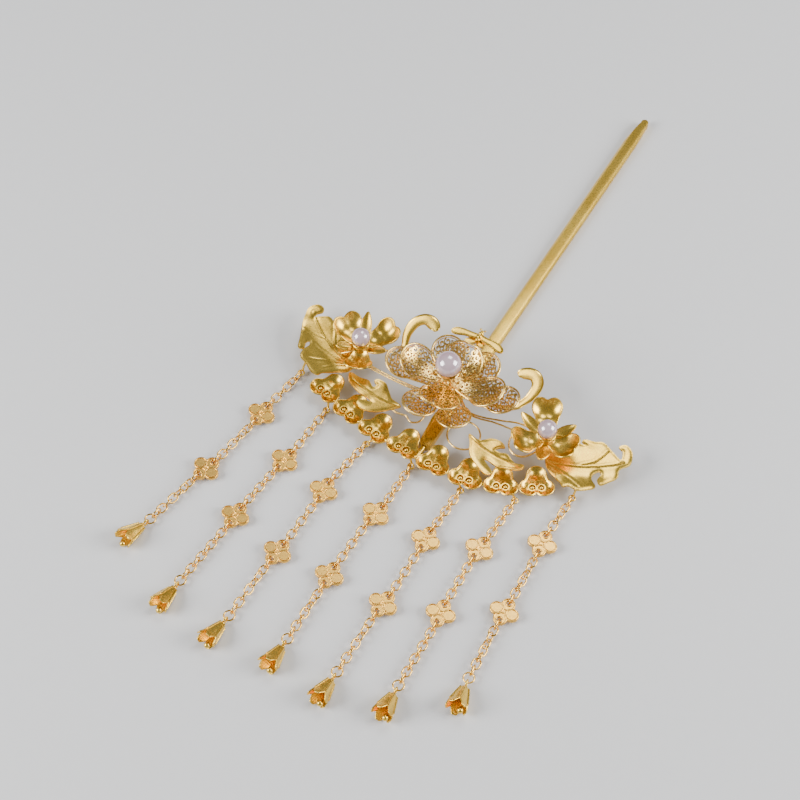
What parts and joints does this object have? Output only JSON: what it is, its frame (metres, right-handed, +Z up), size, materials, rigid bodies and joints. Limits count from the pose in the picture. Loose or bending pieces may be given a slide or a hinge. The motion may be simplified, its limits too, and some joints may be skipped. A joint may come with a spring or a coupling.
{
  "type": "buyao hairpin",
  "caption": "Lying gold hair stick with a wire-work flower, pearl side flowers, leaves, a row of cloud cups and hanging chains with quatrefoil plaques and bells.",
  "frame": {"origin": "point of the stick's flat underside below the lower end of the head, on the stick's middle line", "axes": "+Y along the stick towards its tip, +X to the right seen from above, +Z up from the surface it lies on"},
  "size_m": [0.1105, 0.221, 0.0267],
  "materials": {
    "gold": "satin gilded metal",
    "filigree": "gilded wire-work",
    "chain_gold": "polished gilded metal",
    "pearl": "lustrous pearl"
  },
  "bodies": {
    "root": {"hair_stick": "gold", "wire_frame": "filigree", "cloud_cups": "gold", "leaf_left": "gold", "leaf_right": "gold", "small_leaf_left": "gold", "small_leaf_right": "gold", "flower_outer": "filigree", "flower_inner": "filigree", "pearl_seat": "filigree", "pearl_center": "pearl", "orchid_left": "gold", "orchid_right": "gold", "pearl_left": "pearl", "pearl_right": "pearl", "horn_left": "gold", "horn_right": "gold", "butterfly": "gold", "chain_1": "chain_gold", "chain_2": "chain_gold", "chain_3": "chain_gold", "chain_4": "chain_gold", "chain_5": "chain_gold", "chain_6": "chain_gold", "chain_7": "chain_gold", "plaque_1_1": "chain_gold", "plaque_1_2": "chain_gold", "plaque_2_1": "chain_gold", "plaque_2_2": "chain_gold", "plaque_3_1": "chain_gold", "plaque_3_2": "chain_gold", "plaque_4_1": "chain_gold", "plaque_4_2": "chain_gold", "plaque_5_1": "chain_gold", "plaque_5_2": "chain_gold", "plaque_6_1": "chain_gold", "plaque_6_2": "chain_gold", "plaque_7_1": "chain_gold", "plaque_7_2": "chain_gold", "bell_1": "gold", "bell_2": "gold", "bell_3": "gold", "bell_4": "gold", "bell_5": "gold", "bell_6": "gold", "bell_7": "gold"}
  },
  "joints": []
}
